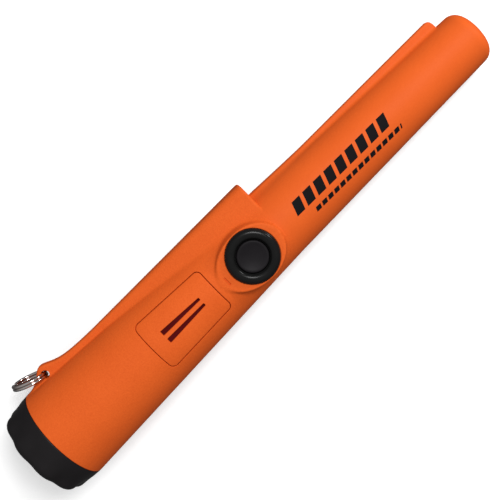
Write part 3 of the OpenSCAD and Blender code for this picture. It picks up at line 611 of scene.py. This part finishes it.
sweep = np.radians(np.arange(2, 719, 4.0))
ramp = ease((sweep - math.radians(330)) / math.radians(60))
ring_path = np.stack([RING_R * np.cos(sweep), RING_R * np.sin(sweep),
                      COIL_STEP * (2 * ramp - 1)], axis=-1)
split_ring = tube("lanyard_ring", ring_path, WIRE_R)
lay = (Matrix.Translation(Vector((LUG_X, LUG_Y, 0)) * MM)
       @ Matrix.Rotation(-RING_TILT, 4, "Z") @ Matrix.Translation(Vector((-RING_R, 0, 0)) * MM)
       @ Matrix.Rotation(math.radians(90), 4, "X") @ Matrix.Rotation(math.radians(200), 4, "Z"))
split_ring.data.transform(lay)
split_ring.data.update()

# %% [markdown]
# ## Threads and coils
# The cap's thread, the matching thread inside the mouth and the coils on the ferrite rod all
# follow a helix round the probe's axis. One Geometry Nodes tree makes them all: a spiral curve,
# swept by a round section, laid along the axis and turned to its starting angle. Turns, pitch,
# radius and section are its inputs, so each piece is the same tree with other numbers.

# %% Helix tree


def helix_tree():
    """A node tree that sweeps a round section along a helix about the X axis."""
    tree = bpy.data.node_groups.new("wound_helix", "GeometryNodeTree")
    for name, kind in (("Geometry", "Geometry"), ("Start", "Float"), ("Turns", "Float"),
                       ("Pitch", "Float"), ("Radius", "Float"), ("Section radius", "Float"),
                       ("Phase", "Float"), ("Steps", "Int"), ("Sides", "Int"),
                       ("Material", "Material")):
        tree.interface.new_socket(name, in_out="INPUT", socket_type=f"NodeSocket{kind}")
    tree.interface.new_socket("Geometry", in_out="OUTPUT", socket_type="NodeSocketGeometry")
    entry, leave = tree.nodes.new("NodeGroupInput"), tree.nodes.new("NodeGroupOutput")

    def node(kind, **links):
        made = tree.nodes.new(kind)
        for name, value in links.items():
            socket = made.inputs[name.replace("_", " ")]
            if isinstance(value, bpy.types.NodeSocket):
                tree.links.new(value, socket)
            else:
                socket.default_value = value
        return made

    given = entry.outputs
    rise = node("ShaderNodeMath")
    rise.operation = "MULTIPLY"
    tree.links.new(given["Turns"], rise.inputs[0])
    tree.links.new(given["Pitch"], rise.inputs[1])
    spiral = node("GeometryNodeCurveSpiral", Resolution=given["Steps"], Rotations=given["Turns"],
                  Start_Radius=given["Radius"], End_Radius=given["Radius"],
                  Height=rise.outputs[0])
    section = node("GeometryNodeCurvePrimitiveCircle", Resolution=given["Sides"],
                   Radius=given["Section radius"])
    swept = node("GeometryNodeCurveToMesh", Curve=spiral.outputs["Curve"],
                 Profile_Curve=section.outputs["Curve"], Fill_Caps=True)
    laid = node("GeometryNodeTransform", Geometry=swept.outputs["Mesh"],
                Rotation=(0, math.pi / 2, 0))
    turned = node("ShaderNodeCombineXYZ", X=given["Phase"])
    moved = node("ShaderNodeCombineXYZ", X=given["Start"])
    set_off = node("GeometryNodeTransform", Geometry=laid.outputs["Geometry"],
                   Rotation=turned.outputs["Vector"], Translation=moved.outputs["Vector"])
    real = node("GeometryNodeRealizeInstances", Geometry=set_off.outputs["Geometry"])
    finish = node("GeometryNodeSetMaterial", Geometry=real.outputs["Geometry"],
                  Material=given["Material"])
    tree.links.new(finish.outputs["Geometry"], leave.inputs["Geometry"])
    return tree


HELIX = helix_tree()


def helix(name, start, turns, pitch, radius, section, phase=0.0, steps_per_turn=48, sides=8):
    """A baked helix; lengths in millimetres, phase in radians."""
    piece = new_piece(name, [(0, 0, 0)], [])
    modifier = piece.modifiers.new("helix", "NODES")
    modifier.node_group = HELIX
    values = {"Start": start * MM, "Turns": turns, "Pitch": pitch * MM, "Radius": radius * MM,
              "Section radius": section * MM, "Phase": phase, "Steps": steps_per_turn,
              "Sides": sides}
    for item in HELIX.interface.items_tree:
        if item.name in values:
            modifier[item.identifier] = values[item.name]
    ready = piece.evaluated_get(bpy.context.evaluated_depsgraph_get())
    mesh = bpy.data.meshes.new_from_object(ready)
    piece.modifiers.clear()
    old, piece.data = piece.data, mesh
    bpy.data.meshes.remove(old)
    return tidy(piece, math.radians(50))


# %% Cap thread, mouth thread and coils
THREAD_PITCH, RIDGE_R, RIDGE_HIGH, THREAD_IN_R = 3.0, 0.5, 0.85, 17.3
THREAD_START = MOUTH_X + 2.1
ridge_turn = 2 * math.pi * (THREAD_START - MOUTH_X) / THREAD_PITCH - math.pi
cap_thread = helix("battery_cap_thread", THREAD_START + RIDGE_R, 1.4, THREAD_PITCH,
                   NECK_R + RIDGE_HIGH - RIDGE_R, RIDGE_R, ridge_turn, 64)
mouth_thread = helix("mouth_thread_ridge", THREAD_START - 0.1 + RIDGE_R, 1.6, THREAD_PITCH,
                     THREAD_IN_R - RIDGE_HIGH + RIDGE_R, RIDGE_R, ridge_turn + math.pi, 64)
mouth_ring = lathe("mouth_thread_seat", [(MOUTH_X + 2.0, THREAD_IN_R + 0.3),
                                         (MOUTH_X + 2.0, THREAD_SEAT_R - 0.1),
                                         (THREAD_END, THREAD_SEAT_R - 0.1),
                                         (THREAD_END, THREAD_IN_R),
                                         (MOUTH_X + 2.3, THREAD_IN_R)], around=128, loop=True)
coil_low, coil_high = node_box("transmit_coil")
pick_low, pick_high = node_box("receive_coils")
COIL_WIRE, PICK_WIRE, PICK_SPLIT, PICK_FLANGE = 0.3, 0.22, 16.58, 1.6


def winding(name, start, end, radius, wire):
    turns = math.floor((end - start - 2 * wire) / (2.02 * wire))
    return helix(name, start + wire, turns, (end - start - 2 * wire) / turns, radius - wire,
                 wire, steps_per_turn=40, sides=6)


transmit = winding("transmit_winding", coil_low[0], coil_high[0], coil_high[2], COIL_WIRE)
pick_a = winding("receive_winding_a", pick_low[0], pick_low[0] + PICK_SPLIT, pick_high[2],
                 PICK_WIRE)
pick_b = winding("receive_winding_b", pick_low[0] + PICK_SPLIT + PICK_FLANGE, pick_high[0],
                 pick_high[2], PICK_WIRE)
print("helix pieces:", [len(p.data.polygons) for p in (cap_thread, mouth_thread, transmit,
                                                       pick_a, pick_b)])

# %% [markdown]
# ## The lamp's window
# The lamp shines out of the flat step, through a clear window with a slightly domed face.

# %% Lamp window
window = lathe("lamp_window", [(STEP_X - 1.5, 0.3), (STEP_X - 1.5, LENS_R),
                               (STEP_X - 0.35, LENS_R), (STEP_X - 0.15, LENS_R - 0.15)]
               + [(STEP_X - 0.15 + 0.13 * (1 - (r / (LENS_R - 0.15)) ** 2), r)
                  for r in np.linspace(LENS_R - 0.3, 0.3, 8)],
               around=64, origin=(0, LENS_Y, 0))

# %% [markdown]
# ## Materials
# Shader maths is easier to read as an expression. The class below wraps a socket, so that
# `1 - mask` adds the Math node it stands for, and one method adds any other node.

# %% Shader helper


class Sheet:
    """A material's node tree, with one method that adds a node."""

    def __init__(self, name):
        self.material = bpy.data.materials.new(name)
        self.material.use_nodes = True
        self.tree = self.material.node_tree
        self.shader = self.tree.nodes["Principled BSDF"]

    def add(self, kind, settings=None, output=0, **sockets):
        node = self.tree.nodes.new(kind)
        for key, value in (settings or {}).items():
            setattr(node, key, value)
        for key, value in sockets.items():
            index = int(key[1:]) if key[0] == "i" and key[1:].isdigit() else key.replace("_", " ")
            self.put(node.inputs[index], value)
        return Wire(self, node.outputs[output])

    def put(self, socket, value):
        if isinstance(value, Wire):
            self.tree.links.new(value.socket, socket)
        else:
            socket.default_value = value

    def set(self, **sockets):
        for key, value in sockets.items():
            self.put(self.shader.inputs[key.replace("_", " ")], value)
        return self.material


class Wire:
    """A socket that takes part in arithmetic."""

    def __init__(self, sheet, socket):
        self.sheet, self.socket = sheet, socket

    def math(self, operation, a, b=0.0, clamp=False):
        return self.sheet.add("ShaderNodeMath", {"operation": operation, "use_clamp": clamp},
                              i0=a, i1=b)

    def __add__(self, other):
        return self.math("ADD", self, other)

    __radd__ = __add__

    def __sub__(self, other):
        return self.math("SUBTRACT", self, other)

    def __rsub__(self, other):
        return self.math("SUBTRACT", other, self)

    def __mul__(self, other):
        return self.math("MULTIPLY", self, other)

    __rmul__ = __mul__

    def over(self, other):
        return self.math("GREATER_THAN", self, other)

    def size(self):
        return self.math("ABSOLUTE", self)

    def clamp(self):
        return self.math("ADD", self, 0.0, clamp=True)


def places(sheet):
    """Object coordinates in millimetres, and their three parts."""
    coords = sheet.add("ShaderNodeTexCoord", output="Object")
    scaled = sheet.add("ShaderNodeVectorMath", {"operation": "SCALE"}, i0=coords, Scale=1000.0)
    parts = sheet.add("ShaderNodeSeparateXYZ", Vector=scaled)
    node = parts.socket.node
    return scaled, [Wire(sheet, node.outputs[i]) for i in range(3)]


def noise(sheet, vector, size, detail=2.0, rough=0.5):
    """Noise whose features are about size millimetres across, from 0 to 1."""
    return sheet.add("ShaderNodeTexNoise", {"noise_dimensions": "3D"}, Vector=vector,
                     Scale=1.0 / size, Detail=detail, Roughness=rough)


def blend_colour(sheet, factor, first, second):
    return sheet.add("ShaderNodeMix", {"data_type": "RGBA"}, output=2, i0=factor, i6=first,
                     i7=second)


def bump(sheet, height, depth_mm, strength=1.0):
    return sheet.add("ShaderNodeBump", Height=height, Strength=strength,
                     Distance=depth_mm * MM)


# %% [markdown]
# ### Moulded plastics
# Injection-moulded ABS has a fine spark-eroded grain on the grip and a smoother satin finish on
# the shaft, with a very slight unevenness of colour. A soft mark on the shaft, a row of slanted
# bars over a dashed line, stands where a printed badge would be.

# %% Plastics
ORANGE, ORANGE_DEEP = (0.75, 0.120, 0.017, 1), (0.64, 0.092, 0.012, 1)
INK = (0.005, 0.004, 0.005, 1)
BADGE_X0, BADGE_X1, BADGE_Y, BADGE_HALF = STEP_X + 8, STEP_X + 56, 1.2, 2.6
BAR_PITCH, BAR_SLANT = 5.4, 0.35
LINE_Y, LINE_HALF = -4.6, 0.9


def badge_mask(sheet, x, y, z):
    """Slanted bars and a dashed line on the shaft's button side."""
    leaned = x - (y - BADGE_Y) * BAR_SLANT - BADGE_X0
    place = sheet.add("ShaderNodeMath", {"operation": "MODULO"}, i0=leaned, i1=BAR_PITCH)
    bar = 1 - (place - BAR_PITCH * 0.39).size().over(BAR_PITCH * 0.36)
    tall = 1 - (y - BADGE_Y).size().over(BADGE_HALF)
    long = leaned.over(0.0) * (1 - leaned.over(BADGE_X1 - BADGE_X0))
    leaned_low = x - (y - LINE_Y) * BAR_SLANT - BADGE_X0 - 6
    dash = sheet.add("ShaderNodeMath", {"operation": "MODULO"}, i0=leaned_low, i1=3.1)
    low = (1 - (y - LINE_Y).size().over(LINE_HALF)) * (1 - dash.over(2.3))
    low = low * leaned_low.over(0.0) * (1 - leaned_low.over(BADGE_X1 - BADGE_X0 - 4))
    return ((bar * tall * long + low) * z.over(0.0)).clamp()


def orange_plastic(name, with_badge):
    """The housing's plastic: grained on the grip, smoother on the shaft."""
    sheet = Sheet(name)
    vector, (x, y, z) = places(sheet)
    cloud = noise(sheet, vector, 14, 3)
    grain = noise(sheet, vector, 0.55, 3, 0.6)
    speckle = noise(sheet, vector, 1.3, 2)
    on_grip = 1 - ((x - STEP_X + 1) * 0.5).clamp()
    mottle = (grain - 0.5) * 1.6 * (0.35 + on_grip * 0.65) + cloud * 0.7 + speckle * 0.3
    colour = blend_colour(sheet, mottle.clamp(), ORANGE, ORANGE_DEEP)
    height = grain * (0.3 + on_grip * 1.0) + speckle * 0.5
    rough = 0.50 + on_grip * 0.08 + grain * 0.10
    if with_badge:
        mask = badge_mask(sheet, x, y, z)
        colour = blend_colour(sheet, mask, colour, INK)
        rough = rough + mask * 0.2
        height = height * (1 - mask * 0.7)
    return sheet.set(Base_Color=colour, Roughness=rough, Normal=bump(sheet, height, 0.08),
                     Specular_IOR_Level=0.10)


def grained_plastic(name, colour, rough, grain_mm, depth_mm, shine=0.25):
    """A moulded plastic or rubber of any colour, with fine grain and a soft unevenness."""
    sheet = Sheet(name)
    vector, _ = places(sheet)
    grain = noise(sheet, vector, grain_mm, 3, 0.6)
    cloud = noise(sheet, vector, 7, 3)
    lighter = tuple(min(1, c * 1.9 + 0.004) for c in colour[:3]) + (1,)
    return sheet.set(Base_Color=blend_colour(sheet, (cloud * 0.7 + grain * 0.3).clamp(), colour,
                                             lighter),
                     Roughness=rough + cloud * 0.08 + grain * 0.06,
                     Normal=bump(sheet, grain, depth_mm), Specular_IOR_Level=shine)


housing_orange = orange_plastic("moulded_orange", True)
panel_orange = orange_plastic("moulded_orange_panel", False)
cap_black = grained_plastic("moulded_black_cap", (0.005, 0.004, 0.0045, 1), 0.34, 0.45, 0.03, 0.16)
gloss_black = grained_plastic("glossy_black_surround", (0.003, 0.003, 0.003, 1), 0.16, 2.5, 0.004,
                              0.12)
rubber_black = grained_plastic("rubber_key", (0.006, 0.005, 0.006, 1), 0.40, 0.30, 0.02, 0.08)
print("plastics made")

# %% [markdown]
# The split ring is bright drawn steel. The lamp's window is clear plastic, a little uneven.

# %% Metals and window


def metal(name, colour, rough, scratch=0.08, grain_mm=0.6, depth_mm=0.004):
    """A bare metal with fine streaks and a slightly uneven tone."""
    sheet = Sheet(name)
    vector, _ = places(sheet)
    streak = noise(sheet, vector, grain_mm, 4, 0.7)
    cloud = noise(sheet, vector, 3.0, 2)
    darker = tuple(c * 0.86 for c in colour[:3]) + (1,)
    return sheet.set(Base_Color=blend_colour(sheet, cloud, colour, darker), Metallic=1.0,
                     Roughness=rough + streak * scratch,
                     Normal=bump(sheet, streak, depth_mm))


bright_steel = metal("bright_ring_steel", (0.52, 0.46, 0.44, 1), 0.07, 0.03, depth_mm=0.0008)
lens_sheet = Sheet("clear_window")
lens_vector, _ = places(lens_sheet)
lens_clear = lens_sheet.set(Base_Color=(0.92, 0.96, 1, 1), Transmission_Weight=0.9, IOR=1.49,
                            Roughness=noise(lens_sheet, lens_vector, 0.8) * 0.06)
print("steel and window made")

# %% [markdown]
# ### Finishes of the inner parts
# The circuit board is fibreglass under green solder mask, with paler tracks and tinned pads. The
# battery's steel can is printed dark with a copper-coloured band at its terminal end. The coils
# are enamelled copper, the foam has open cells and the ferrite is a dark sintered ceramic. Each
# gets its own small tree, because these parts show when the housing is taken off.

# %% Board, battery, copper, foam and ferrite
case_low, case_high = node_box("battery_case")


def board_finish(name):
    """Green solder mask with paler tracks and tinned pads."""
    sheet = Sheet(name)
    vector, (_, y, _) = places(sheet)
    lane = sheet.add("ShaderNodeMath", {"operation": "PINGPONG"}, i0=y + noise(
        sheet, vector, 9, 1) * 2.0, i1=0.9)
    track = (1 - lane.over(0.28)) * noise(sheet, vector, 5, 1).over(0.47)
    cells = sheet.add("ShaderNodeTexVoronoi", {"voronoi_dimensions": "3D"}, Vector=vector,
                      Scale=0.33)
    pad = 1 - cells.over(0.16)
    mask_green = blend_colour(sheet, track, (0.012, 0.115, 0.034, 1), (0.03, 0.24, 0.07, 1))
    return sheet.set(Base_Color=blend_colour(sheet, pad, mask_green, (0.62, 0.58, 0.52, 1)),
                     Metallic=pad, Roughness=0.34 - pad * 0.1,
                     Normal=bump(sheet, track * 0.6 + pad, 0.05), Specular_IOR_Level=0.4)


def can_finish(name):
    """A printed steel can: dark, with a copper-coloured band at its terminal end."""
    sheet = Sheet(name)
    vector, (x, _, _) = places(sheet)
    band = x.over(float(case_low[0] + 0.68 * (case_high[0] - case_low[0])))
    roll = noise(sheet, vector, 1.1, 4, 0.7)
    dark, copper = (0.018, 0.018, 0.021, 1), (0.58, 0.26, 0.10, 1)
    return sheet.set(Base_Color=blend_colour(sheet, band, dark, copper), Metallic=band * 0.8,
                     Roughness=0.28 + roll * 0.14, Normal=bump(sheet, roll, 0.01))


def copper_finish(name):
    """Enamelled copper wire."""
    sheet = Sheet(name)
    vector, _ = places(sheet)
    tone = noise(sheet, vector, 2.2, 3)
    return sheet.set(Base_Color=blend_colour(sheet, tone, (0.60, 0.21, 0.06, 1),
                                             (0.44, 0.13, 0.035, 1)),
                     Metallic=0.9, Roughness=0.24 + tone * 0.12,
                     Normal=bump(sheet, noise(sheet, vector, 0.4, 2), 0.006), Coat_Weight=0.3)


def foam_finish(name):
    """Dark foam with open cells."""
    sheet = Sheet(name)
    vector, _ = places(sheet)
    cells = sheet.add("ShaderNodeTexVoronoi", {"voronoi_dimensions": "3D"}, Vector=vector,
                      Scale=1.6)
    return sheet.set(Base_Color=blend_colour(sheet, cells.clamp(), (0.02, 0.02, 0.022, 1),
                                             (0.075, 0.075, 0.08, 1)),
                     Roughness=0.92 - cells * 0.05, Normal=bump(sheet, cells, 0.25),
                     Specular_IOR_Level=0.1)


def ferrite_finish(name):
    """Dark sintered ceramic with a fine speckle."""
    sheet = Sheet(name)
    vector, _ = places(sheet)
    speck = noise(sheet, vector, 0.35, 4, 0.7)
    return sheet.set(Base_Color=blend_colour(sheet, speck, (0.022, 0.020, 0.022, 1),
                                             (0.055, 0.050, 0.052, 1)),
                     Roughness=0.5 + speck * 0.2, Normal=bump(sheet, speck, 0.02))


SPECIAL = {"board_green": board_finish, "battery_can": can_finish, "coil_wire": copper_finish,
           "foam": foam_finish, "ferrite": ferrite_finish}
coil_copper = copper_finish("enamelled_copper")

# %% [markdown]
# ## Joining the pieces to the frame
# Every new piece rides on the body that its CAD node belongs to, takes its material, and hides
# the CAD nodes that it stands for.

# %% Ride and replace


def place(piece, body, slot, material, *nodes):
    piece.data.materials.clear()
    piece.data.materials.append(material)
    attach(piece, body)
    if nodes:
        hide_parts(*nodes)
    return piece


place(housing, "housing", "orange_housing", housing_orange, "housing_shell")
place(panel, "housing", "orange_housing", panel_orange, "speaker_panel")
place(surround, "housing", "surround_gloss", gloss_black, "button_surround")
place(window, "housing", "lens_clear", lens_clear, "lamp_lens")
place(cap, "cap", "black_cap", cap_black, "battery_cap")
place(key, "key", "key_rubber", rubber_black, "button_key")
place(split_ring, "ring", "ring_steel", bright_steel, "split_ring")
place(cap_thread, "cap", "black_cap", cap_black, "battery_cap")
place(mouth_thread, "housing", "orange_housing", panel_orange, "thread_ring")
place(mouth_ring, "housing", "orange_housing", panel_orange, "thread_ring")
place(transmit, "housing", "coil_wire", coil_copper, "transmit_coil")
place(pick_a, "housing", "coil_wire", coil_copper, "receive_coils")
place(pick_b, "housing", "coil_wire", coil_copper, "receive_coils")

# %% [markdown]
# The other pieces keep their CAD shapes, which suit moulded, stamped and wound parts inside.
# Each takes a finish from its material's slot or class. The membrane's is darkened as painted
# shade.

# %% Carried-over pieces
finishes = {m["slot"]: m for m in frame["record"]["materials"]}
slots = {s["node"]: s["material_slot"] for s in frame["record"]["subparts"]}
# The membrane keeps its own dark colour, scaled down further by the first value below: painted
# shade for the recess behind the speaker's slots.
MEMBRANE_PAINTED_SHADE, MEMBRANE_SHINE, PLASTIC_SHINE = 0.7, 0.0, 0.25
METAL_ROUGH, METAL_SCRATCH, PLASTIC_GRAIN = 0.25, 0.15, (0.45, 0.5, 0.02)
METAL_CLASSES = ("brushed_steel", "chrome", "aluminium", "brass")
made_finishes = {}
for node, piece in frame["nodes"].items():
    name = slots[node]
    if name not in made_finishes:
        finish = finishes[name]
        shade = MEMBRANE_PAINTED_SHADE if name == "membrane" else 1
        base = tuple(shade * c for c in finish["base_color"][:3]) + (1,)
        if finish["class"] in METAL_CLASSES:
            made_finishes[name] = metal(name, base, METAL_ROUGH, METAL_SCRATCH)
        elif name in SPECIAL:
            made_finishes[name] = SPECIAL[name](name)
        else:
            shine = MEMBRANE_SHINE if name == "membrane" else PLASTIC_SHINE
            made_finishes[name] = grained_plastic(name, base, *PLASTIC_GRAIN, shine)
    piece.data.materials.clear()
    piece.data.materials.append(made_finishes[name])
print(len(made_finishes), "finishes on", len(frame["nodes"]), "CAD pieces")

# %% [markdown]
# ## Floor and light
# The probe lies on a plain white table. It touches the table at its cap end and at its tip, so
# the table leans a little against the probe's axis. A broad lamp above, a little from the tip's
# side, models the form. A small low lamp beyond the tip lights the faces that look that way, and
# a pale surround, darker below, fills the shadows.

# %% Floor
touch_a = (MOUTH_X, -MOUTH_R)
touch_b = (PROBE_LEN - TIP_ROUND, -shaft_r(PROBE_LEN - TIP_ROUND))
slope = (touch_b[1] - touch_a[1]) / (touch_b[0] - touch_a[0])
FLOOR_SIZE, FLOOR_DROP = 3000, 0.15


def floor_z(x):
    return touch_a[1] + slope * (x - touch_a[0]) - FLOOR_DROP


corners = [(x, y, floor_z(x)) for x, y in ((-FLOOR_SIZE, -FLOOR_SIZE), (FLOOR_SIZE, -FLOOR_SIZE),
                                           (FLOOR_SIZE, FLOOR_SIZE), (-FLOOR_SIZE, FLOOR_SIZE))]
floor = new_piece("floor", corners, [[0, 1, 2, 3]])
floor_sheet = Sheet("white_table")
floor.data.materials.append(floor_sheet.set(Base_Color=(0.90, 0.90, 0.90, 1), Roughness=0.9,
                                            Specular_IOR_Level=0.0,
                                            Emission_Color=(1, 1, 1, 1), Emission_Strength=0.30))
floor.visible_diffuse = floor.visible_glossy = False
print("floor leans", round(math.degrees(math.atan(slope)), 2), "degrees")

# %% Lamps
LAMP_AIM_X = 113


def soft_lamp(name, side_along, side_across, side_back, size, watts):
    """A square area lamp aimed at the probe's middle. Its place is in metres, and in the
    camera's directions at rest, so it doesn't follow another view."""
    data = bpy.data.lights.new(name, "AREA")
    data.shape, data.size, data.energy = "SQUARE", size, watts
    lamp = bpy.data.objects.new(name, data)
    middle = Vector((LAMP_AIM_X * MM, 0, 0))
    lamp.location = right * side_along + up * side_across + back * side_back + middle
    lamp.rotation_mode = "QUATERNION"
    lamp.rotation_quaternion = (lamp.location - middle).to_track_quat("Z", "Y")
    bpy.context.scene.collection.objects.link(lamp)
    return lamp


soft_lamp("key_light", 0.16, 0.30, 0.75, 0.26, 4.3)
soft_lamp("edge_light", 0.48, 0.44, 0.26, 0.10, 1.5)
print(len(bpy.data.lights), "lights")

# %% The pale room
ROOM_UP = (-0.03, 0.22, 0.975)
ROOM_FROM, ROOM_TO = (-0.25, 0.75), (0.13, 0.58)
world = bpy.data.worlds.new("pale_room")
bpy.context.scene.world = world
world.use_nodes = True
room_tree = world.node_tree
sky = room_tree.nodes.new("ShaderNodeTexCoord")
facing = room_tree.nodes.new("ShaderNodeVectorMath")
facing.operation = "DOT_PRODUCT"
facing.inputs[1].default_value = ROOM_UP
fall = room_tree.nodes.new("ShaderNodeMapRange")
for end, low_value, high_value in (("From", *ROOM_FROM), ("To", *ROOM_TO)):
    fall.inputs[f"{end} Min"].default_value = low_value
    fall.inputs[f"{end} Max"].default_value = high_value
room_tree.links.new(sky.outputs["Generated"], facing.inputs[0])
room_tree.links.new(facing.outputs["Value"], fall.inputs["Value"])
room_tree.links.new(fall.outputs["Result"], room_tree.nodes["Background"].inputs["Strength"])
room_tree.nodes["Background"].inputs["Color"].default_value = (1.0, 1.0, 1.0, 1)
bpy.context.scene.view_settings.view_transform = "Standard"
bpy.context.scene.view_settings.look = "None"
print("stage and lights ready")
